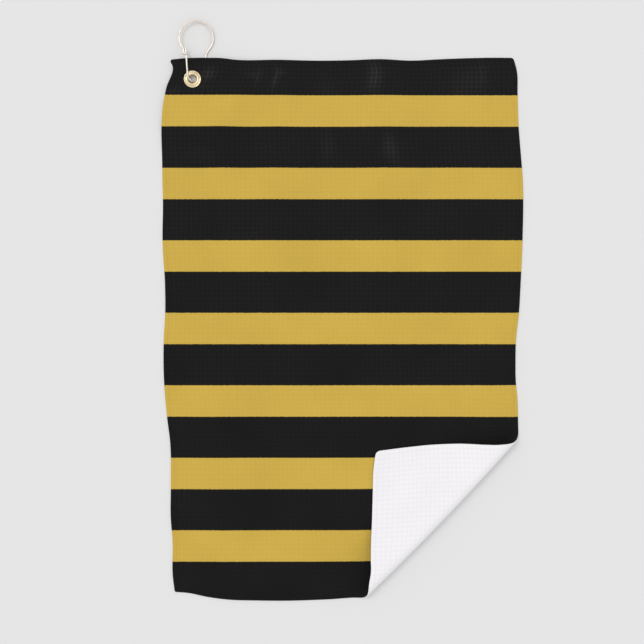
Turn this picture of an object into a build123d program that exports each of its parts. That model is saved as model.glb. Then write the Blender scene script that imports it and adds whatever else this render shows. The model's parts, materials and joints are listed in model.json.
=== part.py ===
from build123d import *
import math
import os

# A golf towel: one sheet of printed waffle cloth with a hem sewn round it, a two-piece brass eyelet
# set in its upper left corner and a bulb-shaped wire hook through the eyelet. It lies face up on a
# flat surface with its lower right corner turned over, so that the back shows. Millimetres, +Z up,
# +Y towards the hook, Z = 0 on the surface, and the origin under the middle of the whole object.

os.makedirs("parts", exist_ok=True)

# Cloth, as it lies: widest and longest extents, and how far each corner draws in (from side, end).
towel_width = 396.8
towel_length = 596.5
cloth_thickness = 1.6
corner_top_left = (10.4, 2.8)
corner_top_right = (10.5, 0.0)
corner_bottom_left = (14.0, 9.6)
corner_bottom_right = (9.4, 7.0)

# Each edge waves a little: (share of the way along the edge, distance in from the extent).
left_waves = [(0.057, 4.9), (0.12, 0.8), (0.22, 0.2), (0.33, 0.6), (0.44, 3.3), (0.55, 1.9)]
left_waves = left_waves + [(0.70, 8.9), (0.85, 9.7)]
right_waves = [(0.065, 5.9), (0.167, 2.8), (0.25, 0.2), (0.34, 0.5), (0.46, 4.2), (0.54, 8.0), (0.63, 5.7)]
top_waves = [(0.12, 0.5), (0.25, 2.2), (0.45, 2.8), (0.61, 1.4), (0.69, 2.8), (0.77, 1.3)]
bottom_waves = [(0.125, 4.0), (0.27, 0.3), (0.40, 0.3), (0.52, 1.9)]

# Hem stitching.
stitch_inset = 4.5
thread_width = 0.6
thread_height = 0.3

# Turned corner: where the fold meets the right side (in, up) and the bottom edge (in, up).
fold_on_side = (4.2, 182.1)
fold_on_bottom = (172.5, 3.9)
fold_outer_radius = 11.0
flap_clearance = 0.3
flap_reach = 102.5
flap_landing = 66.0
flap_tip_along = 124.0
flap_tip_radius = 4.0
flap_side_bow = 3.6
flap_bottom_bow = 2.2

# Eyelet and its washer. Heights are above the flange's seat on the cloth.
eyelet_from_left = 33.9
eyelet_from_top = 24.0
eyelet_hole_radius = 4.75
eyelet_wall = 0.55
eyelet_flange_radius = 9.4
eyelet_dome_height = 1.3
lip_width = 1.6
lip_start_height = 0.2
lip_rounding = (0.5, 0.25)
dome_shoulder = (0.95, 0.35)
groove_height = 0.45
rim_width = 1.5
rim_height = 0.85
rim_edge_height = 0.4
washer_depth = 0.9
washer_edge = 0.3
washer_swell = (0.5, 0.15)
clinch_depth = 0.4
clinch_width = 1.5
clinch_corner = 0.1
barrel_corner = 0.35
recess_edge = 0.4

# Hook: centre lines of the wire, measured from the eyelet's axis. The bulb's three corners rise by
# these shares of the way from the low wire to the high wire. The wire crosses up through the eyelet
# from a point at these shares of the hole's radius to one just outside the hole.
wire_radius = 1.05
wire_clearance = 0.3
bulb_radius = 18.4
bulb_center_up = 45.7
hook_center_right = 4.1
neck_half_width = 10.1
neck_angle = 35.0
neck_bend_left = 4.5
neck_bend_right = 8.0
foot_down = 3.2
foot_bend = 9.0
crossing_bend = 5.0
crossing_low = (0.463, -0.695)
crossing_outside = 0.08
crossing_high_up = 0.4
bulb_rise = (0.8, 0.48, 0.13)
pivot_up = 12.0
pivot_inset = 0.4
pivot_gap = 0.32
gate_tip_up = 34.6
latch_overlap = 7.5
latch_clearance = 0.25
latch_bend_share = 0.49
tip_rounding = 0.6

# Cloth is held up in a round plateau over the hook's lower leg, then ramps down to the surface.
plateau_radius = 50.0
ramp_length = 40.0

half_width = towel_width / 2
wire_low_z = wire_radius
cloth_lift = 2 * wire_radius + wire_clearance + washer_depth
flange_seat_z = cloth_lift + cloth_thickness
wire_high_z = flange_seat_z + eyelet_dome_height + wire_clearance + wire_radius
hook_overhang = bulb_center_up + bulb_radius + wire_radius - eyelet_from_top
top_y = (towel_length - hook_overhang) / 2
bottom_y = top_y - towel_length
eyelet_x = -half_width + eyelet_from_left
eyelet_y = top_y - eyelet_from_top
trim_height = 60.0


def left_run(margin):
    """Points down the left side, a margin in from the edge."""
    first = (-half_width + corner_top_left[0] + margin, top_y - corner_top_left[1])
    last = (-half_width + corner_bottom_left[0] + margin, bottom_y + corner_bottom_left[1])
    between = [(-half_width + wave + margin, top_y - share * towel_length) for share, wave in left_waves]
    return [first] + between + [last]


def right_run(margin):
    """Points down the right side, as if the corner were not turned."""
    first = (half_width - corner_top_right[0] - margin, top_y - corner_top_right[1])
    last = (half_width - corner_bottom_right[0] - margin, bottom_y + corner_bottom_right[1])
    between = [(half_width - wave - margin, top_y - share * towel_length) for share, wave in right_waves]
    return [first] + between + [last]


def top_run(margin, short=0):
    """Points along the top from left to right, ending a little short of the sides if asked."""
    first = (-half_width + corner_top_left[0] + short, top_y - corner_top_left[1] - margin)
    last = (half_width - corner_top_right[0] - short, top_y - corner_top_right[1] - margin)
    between = [(-half_width + share * towel_width, top_y - wave - margin) for share, wave in top_waves]
    return [first] + between + [last]


def bottom_run(margin, short=0):
    """Points along the bottom from left to right, as if the corner were not turned."""
    first = (-half_width + corner_bottom_left[0] + short, bottom_y + corner_bottom_left[1] + margin)
    last = (half_width - corner_bottom_right[0] - short, bottom_y + corner_bottom_right[1] + margin)
    between = [(-half_width + share * towel_width, bottom_y + wave + margin) for share, wave in bottom_waves]
    return [first] + between + [last]


# The crease is the outermost line of the turned corner. Local x points out of the towel, local y
# runs along the crease from the bottom edge to the right side.
crease_bottom = Vector(half_width - fold_on_bottom[0], bottom_y + fold_on_bottom[1], 0)
crease_side = Vector(half_width - fold_on_side[0], bottom_y + fold_on_side[1], 0)
crease_direction = (crease_side - crease_bottom).normalized()
crease_length = (crease_side - crease_bottom).length
outward = crease_direction.cross(Vector(0, 0, 1))
crease_plane = Plane(origin=crease_bottom, x_dir=outward, z_dir=(0, 0, 1))
section_plane = Plane(origin=crease_bottom, x_dir=outward, z_dir=crease_direction * -1)
roll_radius = fold_outer_radius - cloth_thickness / 2
roll_arc = math.pi * roll_radius


def cloth_layer(low, high):
    """A layer of the laid cloth between two heights above its underside, raised about the eyelet."""
    low_z = cloth_lift + low
    high_z = cloth_lift + high
    end_radius = plateau_radius + ramp_length
    with BuildPart() as layer:
        with BuildSketch(Plane.XY.offset(low)):
            Rectangle(2 * towel_width, 2 * towel_length)
        extrude(amount=high - low)
        with BuildSketch(Plane((eyelet_x, eyelet_y, 0))):
            Circle(end_radius)
        extrude(amount=trim_height, mode=Mode.SUBTRACT)
        with BuildSketch(Plane((eyelet_x, eyelet_y, 0), x_dir=(1, 0, 0), z_dir=(0, -1, 0))):
            with BuildLine():
                Line((0, low_z), (plateau_radius, low_z))
                Spline((plateau_radius, low_z), (end_radius, low), tangents=((1, 0), (1, 0)))
                Line((end_radius, low), (end_radius, high))
                Spline((plateau_radius, high_z), (end_radius, high), tangents=((1, 0), (1, 0)))
                Line((plateau_radius, high_z), (0, high_z))
                Line((0, high_z), (0, low_z))
            make_face()
        revolve(axis=Axis((eyelet_x, eyelet_y, 0), (0, 0, 1)))
    return layer.part


# Everything that lies beyond the line where the turned corner leaves the surface.
with BuildPart() as corner_space:
    with BuildSketch(crease_plane):
        with Locations((towel_width - fold_outer_radius, crease_length / 2)):
            Rectangle(2 * towel_width, 2 * towel_width)
    extrude(amount=trim_height)


# Towel panel: the printed sheet up to where the turned corner leaves the surface.
panel_layer = cloth_layer(0, cloth_thickness)
with BuildPart() as towel_panel:
    with BuildSketch():
        with BuildLine():
            Spline(*left_run(0))
            Spline(*bottom_run(0))
            Spline(*right_run(0))
            Spline(*top_run(0))
        make_face()
    extrude(amount=trim_height)
    add(panel_layer, mode=Mode.INTERSECT)
    add(corner_space.part, mode=Mode.SUBTRACT)
    with Locations((eyelet_x, eyelet_y, flange_seat_z)):
        Hole(eyelet_hole_radius + eyelet_wall)
towel_panel.part.label = "towel_panel"
export_step(towel_panel.part, "parts/towel_panel.step")


# Hem thread: one run along each side of the panel, on its face.
thread_layer = cloth_layer(cloth_thickness, cloth_thickness + thread_height)


def hem_thread(name, run):
    """One run of thread, laid on the face of the cloth."""
    with BuildPart() as thread:
        with BuildSketch():
            with BuildLine():
                Spline(*run)
            trace(line_width=thread_width)
        extrude(amount=trim_height)
        add(thread_layer, mode=Mode.INTERSECT)
        add(corner_space.part, mode=Mode.SUBTRACT)
    thread.part.label = name
    export_step(thread.part, f"parts/{name}.step")


hem_thread("hem_thread_left", left_run(stitch_inset))
hem_thread("hem_thread_right", right_run(stitch_inset))
hem_thread("hem_thread_top", top_run(stitch_inset, stitch_inset + 2 * thread_width))
hem_thread("hem_thread_bottom", bottom_run(stitch_inset, stitch_inset + 2 * thread_width))


def crossing_along(run):
    """How far along the crease an edge reaches the start of the roll."""
    with BuildLine(mode=Mode.PRIVATE) as edge_line:
        Spline(*run)
    start_point = crease_plane.from_local_coords(Vector(-fold_outer_radius, -towel_width))
    end_point = crease_plane.from_local_coords(Vector(-fold_outer_radius, towel_width))
    start_line = Edge.make_line(start_point, end_point)
    meeting = edge_line.edge().intersect(start_line)
    return crease_plane.to_local_coords(meeting.vertices()[0].center()).Y


# Across the roll an edge runs on straight in the cloth: its step along the crease for each
# millimetre round the roll is the slope of the edge to the crease.
side_start = crossing_along(right_run(0))
bottom_start = crossing_along(bottom_run(0))
side_slope = abs(crease_direction.Y / outward.Y)
bottom_slope = abs(crease_direction.X / outward.X)
side_end = side_start - side_slope * roll_arc
bottom_end = bottom_start + bottom_slope * roll_arc
side_middle = (side_start + side_end) / 2
bottom_middle = (bottom_start + bottom_end) / 2

# Corner roll: the half turn of cloth, in a lower and an upper half with their own slanting ends.
def roll_half(start_angle, outline):
    """A quarter turn of the roll, cut to its outline seen from above."""
    with BuildPart() as half:
        with BuildSketch(section_plane):
            with BuildLine():
                CenterArc((-fold_outer_radius, fold_outer_radius), roll_radius, start_angle, 90)
            trace(line_width=cloth_thickness)
        extrude(amount=towel_width, both=True)
        with BuildSketch(crease_plane):
            with BuildLine():
                Polyline(*outline, close=True)
            make_face()
        extrude(amount=trim_height, mode=Mode.INTERSECT)
    return half.part


crease_middles = [(0, bottom_middle), (0, side_middle)]
lower_outline = [(-fold_outer_radius, bottom_start)] + crease_middles + [(-fold_outer_radius, side_start)]
upper_outline = [(-fold_outer_radius, bottom_end)] + crease_middles + [(-fold_outer_radius, side_end)]
lower_half = roll_half(-90, lower_outline)
upper_half = roll_half(0, upper_outline)
with BuildPart() as corner_roll:
    add(lower_half)
    add(upper_half)
corner_roll.part.label = "corner_roll"
export_step(corner_roll.part, "parts/corner_roll.step")


# Corner flap: it comes down off the roll in a soft S and lies on the panel, back face up.
flap_top_z = 2 * fold_outer_radius - cloth_thickness / 2
flap_rest_z = cloth_thickness + flap_clearance + cloth_thickness / 2
side_corner = Vector(-fold_outer_radius, side_end)
bottom_corner = Vector(-fold_outer_radius, bottom_end)
flap_tip = Vector(-flap_reach, flap_tip_along)


def flap_layer(thickness):
    """The flap's section, run along the crease, with its middle in the middle of the cloth."""
    with BuildPart() as layer:
        with BuildSketch(section_plane):
            with BuildLine():
                roll_top = (-fold_outer_radius, flap_top_z)
                landing = (-flap_landing, flap_rest_z)
                Spline(roll_top, landing, tangents=((-1, 0), (-1, 0)))
                Line(landing, (-flap_reach - flap_tip_radius, flap_rest_z))
            trace(line_width=thickness)
        extrude(amount=towel_width, both=True)
    return layer.part


flap_slab = flap_layer(cloth_thickness)
with BuildPart() as corner_flap:
    with BuildSketch(crease_plane):
        with BuildLine():
            SagittaArc(side_corner, flap_tip, -flap_side_bow)
            SagittaArc(flap_tip, bottom_corner, -flap_bottom_bow)
            Line(bottom_corner, side_corner)
        make_face()
        fillet(vertices().sort_by(Axis.X)[0], flap_tip_radius)
    extrude(amount=trim_height)
    add(flap_slab, mode=Mode.INTERSECT)
corner_flap.part.label = "corner_flap"
export_step(corner_flap.part, "parts/corner_flap.step")


thread_slab = flap_layer(cloth_thickness + 2 * thread_height)


def corner_thread(name, roll_end, bow, side):
    """One run of thread on the flap's back, inside the edge from the roll to the tip."""
    along_edge = (flap_tip - roll_end).normalized()
    inward = Vector(-along_edge.Y, along_edge.X) * side
    start = roll_end + inward * stitch_inset
    end = flap_tip + inward * stitch_inset - along_edge * stitch_inset
    with BuildPart() as thread:
        with BuildSketch(crease_plane):
            with BuildLine():
                SagittaArc(start, end, bow)
            trace(line_width=thread_width)
        extrude(amount=trim_height)
        add(thread_slab, mode=Mode.INTERSECT)
        add(flap_slab, mode=Mode.SUBTRACT)
    top_run_of_thread = thread.solids().sort_by(Axis.Z)[-1]
    top_run_of_thread.label = name
    export_step(top_run_of_thread, f"parts/{name}.step")


corner_thread("corner_thread_side", side_corner, -flap_side_bow, 1)
corner_thread("corner_thread_bottom", bottom_corner, flap_bottom_bow, -1)


# Eyelet: a stamped flange with a domed lip and a rolled rim, and a barrel clinched under the washer.
eyelet_plane = Plane((eyelet_x, eyelet_y, flange_seat_z), x_dir=(1, 0, 0), z_dir=(0, -1, 0))
barrel_radius = eyelet_hole_radius + eyelet_wall
lip_radius = eyelet_hole_radius + lip_width
groove_radius = eyelet_flange_radius - rim_width
rim_middle_radius = eyelet_flange_radius - rim_width / 2
clinch_radius = barrel_radius + clinch_width
recess_radius = clinch_radius + recess_edge
washer_top = -cloth_thickness
washer_bottom = washer_top - washer_depth
clinch_top = washer_bottom + clinch_depth
with BuildPart() as eyelet:
    with BuildSketch(eyelet_plane):
        with BuildLine():
            Line((eyelet_hole_radius, washer_bottom + barrel_corner), (eyelet_hole_radius, lip_start_height))
            ThreePointArc(
                (eyelet_hole_radius, lip_start_height),
                (eyelet_hole_radius + lip_rounding[0], eyelet_dome_height - lip_rounding[1]),
                (lip_radius, eyelet_dome_height),
            )
            ThreePointArc(
                (lip_radius, eyelet_dome_height),
                (lip_radius + dome_shoulder[0], eyelet_dome_height - dome_shoulder[1]),
                (groove_radius, groove_height),
            )
            ThreePointArc(
                (groove_radius, groove_height),
                (rim_middle_radius, rim_height),
                (eyelet_flange_radius, rim_edge_height),
            )
            Polyline(
                (eyelet_flange_radius, rim_edge_height),
                (eyelet_flange_radius, 0),
                (barrel_radius, 0),
                (barrel_radius, clinch_top),
                (clinch_radius, clinch_top),
                (clinch_radius, washer_bottom + clinch_corner),
                (clinch_radius - clinch_corner, washer_bottom),
                (eyelet_hole_radius + barrel_corner, washer_bottom),
                (eyelet_hole_radius, washer_bottom + barrel_corner),
            )
        make_face()
    revolve(axis=Axis((eyelet_x, eyelet_y, 0), (0, 0, 1)))
eyelet.part.label = "eyelet"
export_step(eyelet.part, "parts/eyelet.step")


# Washer: a shallow domed ring under the cloth, recessed at its inner edge for the clinched barrel.
with BuildPart() as eyelet_washer:
    with BuildSketch(eyelet_plane):
        with BuildLine():
            Polyline(
                (barrel_radius, washer_top),
                (barrel_radius, clinch_top),
                (clinch_radius, clinch_top),
                (recess_radius, washer_bottom),
            )
            ThreePointArc(
                (recess_radius, washer_bottom),
                (groove_radius + washer_swell[0], washer_bottom + washer_swell[1]),
                (eyelet_flange_radius, washer_top - washer_edge),
            )
            Polyline(
                (eyelet_flange_radius, washer_top - washer_edge),
                (eyelet_flange_radius, washer_top),
                (barrel_radius, washer_top),
            )
        make_face()
    revolve(axis=Axis((eyelet_x, eyelet_y, 0), (0, 0, 1)))
eyelet_washer.part.label = "eyelet_washer"
export_step(eyelet_washer.part, "parts/eyelet_washer.step")


# Hook: one bent wire. Its centre line runs from the latch finger, which crosses over the gate leg,
# up round the bulb, down behind the cloth, up through the eyelet and along the sprung gate leg.
def hook_point(right, up, height):
    """A point of the wire, measured from the eyelet's axis, with its height above the surface."""
    return (eyelet_x + right, eyelet_y + up, height)


def gate_line_at(up):
    """How far right the straight gate leg is at a given height up the hook."""
    return pivot_right - gate_lean * (up - pivot_up)


# The bulb is three equal bends that make one circle; each corner lies where two tangents meet.
bulb_bend = (180 + 2 * neck_angle) / 3
bulb_reach = bulb_radius / math.cos(math.radians(bulb_bend / 2))


def bulb_corner(turn, share_of_height):
    """A corner of the bulb, turned from its top, at a share of the way from low to high wire."""
    right = hook_center_right + bulb_reach * math.sin(math.radians(turn))
    up = bulb_center_up + bulb_reach * math.cos(math.radians(turn))
    return hook_point(right, up, wire_low_z + share_of_height * (wire_high_z - wire_low_z))


latch_gap = 2 * wire_radius + latch_clearance
pivot_right = hook_center_right - neck_half_width + pivot_inset
crossing_right = -eyelet_hole_radius - crossing_outside
gate_lean = (crossing_right - pivot_right) / (pivot_up - crossing_high_up)
low_right = crossing_low[0] * eyelet_hole_radius
low_up = crossing_low[1] * eyelet_hole_radius
leg_right = hook_center_right + neck_half_width
latch_up = gate_tip_up - latch_overlap
tail_right = gate_line_at(gate_tip_up) - latch_gap
neck_out = bulb_radius * math.cos(math.radians(neck_angle))
neck_up = bulb_center_up - bulb_radius * math.sin(math.radians(neck_angle))
neck_slope = 1 / math.tan(math.radians(neck_angle))
left_neck_up = neck_up - (tail_right - hook_center_right + neck_out) * neck_slope
right_neck_up = neck_up - (hook_center_right + neck_out - leg_right) * neck_slope
latch_bend = latch_bend_share * latch_gap
pivot = Vector(*hook_point(pivot_right, pivot_up, wire_high_z))
gate_tip = Vector(*hook_point(gate_line_at(gate_tip_up), gate_tip_up, wire_high_z))
gate_direction = (gate_tip - pivot).normalized()
hook_corners = [
    hook_point(gate_line_at(latch_up) + wire_radius, latch_up, wire_high_z + latch_gap),
    hook_point(tail_right, latch_up, wire_high_z + latch_gap),
    hook_point(tail_right, latch_up, wire_high_z),
    hook_point(tail_right, left_neck_up, wire_high_z),
    bulb_corner(-bulb_bend, bulb_rise[0]),
    bulb_corner(0, bulb_rise[1]),
    bulb_corner(bulb_bend, bulb_rise[2]),
    hook_point(leg_right, right_neck_up, wire_low_z),
    hook_point(leg_right, -foot_down, wire_low_z),
    hook_point(low_right, low_up, wire_low_z),
    hook_point(crossing_right, crossing_high_up, wire_high_z),
    tuple(pivot - gate_direction * (pivot_gap / 2)),
]
bulb_bends = [bulb_radius] * 3
hook_bends = [latch_bend, latch_bend, neck_bend_left] + bulb_bends
hook_bends = hook_bends + [neck_bend_right, foot_bend, crossing_bend, crossing_bend]
with BuildPart() as hook_wire:
    with BuildLine():
        hook_path = FilletPolyline(*hook_corners, radius=hook_bends)
    with BuildSketch(Plane(origin=hook_path @ 0, z_dir=hook_path % 0)):
        Circle(wire_radius)
    sweep()
    latch_end = hook_wire.faces().sort_by_distance(hook_path @ 0)[0]
    fillet(latch_end.edges(), tip_rounding)
hook_wire.part.label = "hook_wire"
export_step(hook_wire.part, "parts/hook_wire.step")


# Hook gate: the sprung leg of the same wire. It bends where it comes out of the eyelet.
with BuildPart() as hook_gate:
    with BuildLine():
        gate_path = Line(pivot + gate_direction * (pivot_gap / 2), gate_tip)
    with BuildSketch(Plane(origin=gate_path @ 0, z_dir=gate_path % 0)):
        Circle(wire_radius)
    sweep()
    gate_end = hook_gate.faces().sort_by_distance(gate_tip)[0]
    fillet(gate_end.edges(), tip_rounding)
hook_gate.part.label = "hook_gate"
export_step(hook_gate.part, "parts/hook_gate.step")
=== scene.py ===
import json
import math

import bpy
import numpy as np
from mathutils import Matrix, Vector


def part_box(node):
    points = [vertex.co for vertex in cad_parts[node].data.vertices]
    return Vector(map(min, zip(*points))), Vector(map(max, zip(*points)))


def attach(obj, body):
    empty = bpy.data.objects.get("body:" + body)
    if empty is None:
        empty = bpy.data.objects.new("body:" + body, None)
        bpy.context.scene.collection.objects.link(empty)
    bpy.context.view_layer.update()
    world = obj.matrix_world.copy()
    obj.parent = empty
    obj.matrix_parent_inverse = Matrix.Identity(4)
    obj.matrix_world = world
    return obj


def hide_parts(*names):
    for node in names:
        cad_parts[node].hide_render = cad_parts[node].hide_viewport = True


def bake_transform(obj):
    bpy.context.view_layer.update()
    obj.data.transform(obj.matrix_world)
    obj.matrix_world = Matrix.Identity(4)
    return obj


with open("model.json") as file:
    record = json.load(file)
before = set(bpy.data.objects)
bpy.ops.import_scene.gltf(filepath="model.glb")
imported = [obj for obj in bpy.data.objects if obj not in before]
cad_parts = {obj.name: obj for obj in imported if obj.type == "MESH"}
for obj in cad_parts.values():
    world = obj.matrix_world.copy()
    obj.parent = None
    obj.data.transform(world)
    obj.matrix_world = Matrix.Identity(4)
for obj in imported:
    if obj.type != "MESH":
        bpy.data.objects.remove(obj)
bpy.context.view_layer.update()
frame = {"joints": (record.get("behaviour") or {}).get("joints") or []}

mm = 0.001


# camera, floor and light
studio = {
    "cameraHeight": 1300 * mm,
    "cameraAt": (-22.5 * mm, -12.5 * mm),   # the middle of the view on the floor
    "viewWidth": 708.4 * mm,                # how much floor the view is wide
    "floorColour": (0.757, 0.757, 0.757),
    "floorSize": 30.0,
    "floorRoughness": 0.9,
    "floorGloss": 0.1,
    "keyFrom": (-0.42, 0.38, 1.0),          # the way to the key light
    "keySpread": 22,                        # degrees that it is wide, for soft shadows
    "keyStrength": 0.62,
    "worldColour": (1.0, 1.0, 1.0),
    "worldStrength": 0.87,
}


def setUpStudio():
    scene = bpy.context.scene
    scene.view_settings.view_transform = "Standard"
    scene.view_settings.look = "None"

    camera = bpy.data.objects.new("camera", bpy.data.cameras.new("camera"))
    camera.data.lens = camera.data.sensor_width * studio["cameraHeight"] / studio["viewWidth"]
    camera.data.clip_end = 20
    camera.location = (*studio["cameraAt"], studio["cameraHeight"])   # straight down, +Y at the top
    scene.collection.objects.link(camera)
    scene.camera = camera

    bpy.ops.mesh.primitive_plane_add(size=studio["floorSize"])
    floor = bpy.context.object
    floor.name = "floor"
    floorLook = bpy.data.materials.new("palePaper")
    floorLook.use_nodes = True
    shader = floorLook.node_tree.nodes["Principled BSDF"]
    shader.inputs["Base Color"].default_value = (*studio["floorColour"], 1)
    shader.inputs["Roughness"].default_value = studio["floorRoughness"]
    shader.inputs["Specular IOR Level"].default_value = studio["floorGloss"]
    floor.data.materials.append(floorLook)

    lamp = bpy.data.objects.new("keyLight", bpy.data.lights.new("keyLight", "SUN"))
    lamp.data.angle = math.radians(studio["keySpread"])
    lamp.data.energy = studio["keyStrength"]
    lamp.rotation_euler = Vector(studio["keyFrom"]).to_track_quat("Z", "Y").to_euler()
    scene.collection.objects.link(lamp)

    world = bpy.data.worlds.new("softRoom")
    world.use_nodes = True
    sky = world.node_tree.nodes["Background"]
    sky.inputs["Color"].default_value = (*studio["worldColour"], 1)
    sky.inputs["Strength"].default_value = studio["worldStrength"]
    scene.world = world


setUpStudio()
print("studio ready")


# node helpers
def newLook(name):
    look = bpy.data.materials.new(name)
    look.use_nodes = True
    return look, look.node_tree, look.node_tree.nodes["Principled BSDF"]


def addNode(tree, kind, inputs=None, **settings):
    node = tree.nodes.new("ShaderNode" + kind)
    for key, value in settings.items():
        setattr(node, key, value)
    for key, value in (inputs or {}).items():
        if isinstance(value, bpy.types.NodeSocket):
            tree.links.new(value, node.inputs[key])
        else:
            node.inputs[key].default_value = value
    return node


def calc(tree, operation, *values):
    return addNode(tree, "Math", dict(enumerate(values)), operation=operation).outputs[0]


def mixColour(tree, share, first, second, blendType="MIX"):
    node = addNode(tree, "Mix", None, data_type="RGBA", blend_type=blendType)
    for key, value in ((0, share), (6, first), (7, second)):
        if isinstance(value, bpy.types.NodeSocket):
            tree.links.new(value, node.inputs[key])
        else:
            node.inputs[key].default_value = value if key == 0 else (*value, 1)
    return node.outputs[2]


def mapRange(tree, value, fromLow, fromHigh, toLow, toHigh, kind="LINEAR"):
    ends = {0: value, 1: fromLow, 2: fromHigh, 3: toLow, 4: toHigh}
    return addNode(tree, "MapRange", ends, interpolation_type=kind).outputs[0]


# the cloth's shape
cloth = {
    "width": 392 * mm,                # finished, laid out flat
    "length": 592 * mm,
    "cellsAcross": 76,                # waffle cells
    "cellsAlong": 115,
    "linesPerCell": 4,
    "halfThickness": 0.5 * mm,
    "outsideHalf": 0.8 * mm,          # half the thickness over the ridges, as the solid cloth has it
    "relief": 0.27 * mm,              # from the floor of a cell to its ridges
    "sharpness": 2.6,                 # how narrow the ridges are in their cells
    "restHeight": 0.86 * mm,          # middle of the cloth above what it lies on
    "hemWidth": 6.2 * mm,             # the turned hem, measured from the edge
    "hemSwell": 0.28 * mm,
    "edgeRounding": 1.0 * mm,
    "stitchInset": 4.5 * mm,
    "stitchDip": 0.22 * mm,
    "stitchGroove": 0.45 * mm,        # how wide the dip of the stitch line is
    "hemLines": (0, 0.1, 0.3, 0.6, 1.0, 1.8, 2.8, 3.6, 4.1, 4.5, 4.9, 5.5, 6.2),   # mm in from the edge
    "cornerRounding": (0.8 * mm, 3.0 * mm, 1.8 * mm, 4.5 * mm),   # top left, top right, bottom left, turned tip
    "eyeletHole": 6.3 * mm,           # cut away round the eyelet's barrel, under its flange
    "pressedFlat": (9 * mm, 13 * mm),            # from the eyelet: no waffle within the first, all past the second
    "hemRelief": 0.35,                # how much of the waffle shows in the hem
    "raisedRadius": 50 * mm,          # held up round the eyelet by the hook's lower leg
    "rampLength": 40 * mm,
}

# Outline of the laid cloth in millimetres: each point is (in from that side, along it from its first end).
outline = {
    "left": [(10.7, 3.8), (9.6, 6.2), (11.4, 9.4), (4.9, 35.6), (1.4, 53.9), (0.0, 70.7), (0.2, 121.3),
             (1.0, 163.3), (0.5, 200.9), (3.2, 250.0), (3.5, 279.5), (1.8, 313.1), (2.0, 352.5), (5.5, 396.0),
             (9.0, 425.0), (9.6, 470.0), (9.6, 507.8), (11.6, 533.1), (11.8, 571.1), (14.0, 588.4)],
    "right": [(10.6, 1.3), (6.8, 15.1), (5.9, 40.4), (5.0, 72.6), (2.9, 100.7), (0.2, 135.8), (0.5, 201.4),
              (2.3, 243.6), (4.3, 280.0), (7.8, 313.6), (8.1, 336.1), (7.5, 358.6), (5.9, 376.8)],
    "top": [(2.4, 24.5), (1.9, 48.4), (2.4, 68.0), (3.7, 77.8), (3.6, 122.7), (4.3, 180.2), (3.9, 206.7),
            (2.9, 240.3), (4.3, 274.0), (2.8, 304.9), (1.1, 368.0)],
    "bottom": [(8.4, 28.8), (4.1, 49.8), (1.3, 70.8), (0.1, 105.9), (0.1, 160.7), (0.9, 188.0)],
}

# The turned corner in millimetres: each point is (out from the crease, along it from its middle).
corner = {
    "rollRadius": 8.2,                # at the middle of the cloth
    "landing": 64.0,                  # how far in the flap comes to rest
    "restHeight": 2.8,                # the middle of the flap's cloth above the floor, where it rests
    "sideOnRoll": (130.2, 103.1),     # where the side edge enters and leaves the roll
    "bottomOnRoll": (-133.2, -108.4),
    "sideEdge": [(-14.5, 97.2), (-22.3, 89.9), (-42.4, 71.1), (-58.4, 53.8), (-80.0, 29.0)],
    "bottomEdge": [(-17.7, -96.5), (-26.6, -87.6), (-40.5, -72.3), (-54.0, -56.2), (-72.7, -35.0),
                   (-90.3, -15.3)],
    "tip": (-102.4, 1.6),
    "bow": (2.2, 25.0, 115.0),        # the fold bows out: how far, where along it, and over what reach
    "bowEnds": -0.6,                  # how far its ends draw in, as a share of the bow
    "bowFade": (-70.0, -8.0),         # where it begins and is whole, out from the crease
    "foldFrom": -13.5,                # cloth out to this line is laid, from there to the next it is the fold,
    "foldTo": 13.2,                   # and past that it is the flap
    "bendFrom": (-9.17, 1.86),        # two points of the fold's cloth, low in the roll and near its top:
    "bendTo": (-11.65, 16.28),        # out from the crease and up
}

# Soft ridges in the laid cloth: where from and to on the floor, how wide and how high, in millimetres.
ridges = [
    {"line": ((-142, 262), (-128, 120)), "width": 15, "height": 2.6},
    {"line": ((-70, 276), (-82, 60)), "width": 20, "height": 2.2},
    {"line": ((40, 277), (52, 90)), "width": 24, "height": 2.0},
    {"line": ((-150, -60), (-120, -300)), "width": 26, "height": 1.6},
    {"line": ((120, 200), (150, -40)), "width": 28, "height": 1.6},
    {"line": ((-60, -20), (-20, -200)), "width": 30, "height": 1.2},
]
# Where the ridges die out, in millimetres.
ridgeFree = {
    "underFlap": (-150, -115),        # out from the crease: whole before the first, gone past the second
    "besideFlap": (170, 130),         # along the crease, either way from its middle: the same
    "nearEyelet": (30, 75),           # from the eyelet: gone within the first, whole past the second
}

panelLow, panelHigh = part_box("towel_panel")
rollLow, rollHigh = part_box("corner_roll")
eyeletLow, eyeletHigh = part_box("eyelet")
eyeletX, eyeletY = (eyeletLow.x + eyeletHigh.x) / 2, (eyeletLow.y + eyeletHigh.y) / 2
foldJoint = next(joint for joint in frame["joints"] if joint["name"] == "corner_fold")
creaseAlong = np.array(foldJoint["axis"][:2])
creaseOut = np.array([creaseAlong[1], -creaseAlong[0]])
# The hinge stands out from the crease by half of what the solid's roll takes up.
solidOuter = (rollHigh.z - rollLow.z) / 2
solidArc = math.pi * (solidOuter - cloth["outsideHalf"])
creaseMiddle = np.array(foldJoint["pos_m"][:2]) - creaseOut * (solidArc / 2 - solidOuter)
rollMid = corner["rollRadius"] * mm
rollOuter = rollMid + cloth["outsideHalf"]
rollArc = math.pi * rollMid


def smoothStep(low, high, value):
    share = np.clip((value - low) / (high - low), 0, 1)
    return share * share * (3 - 2 * share)


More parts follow.
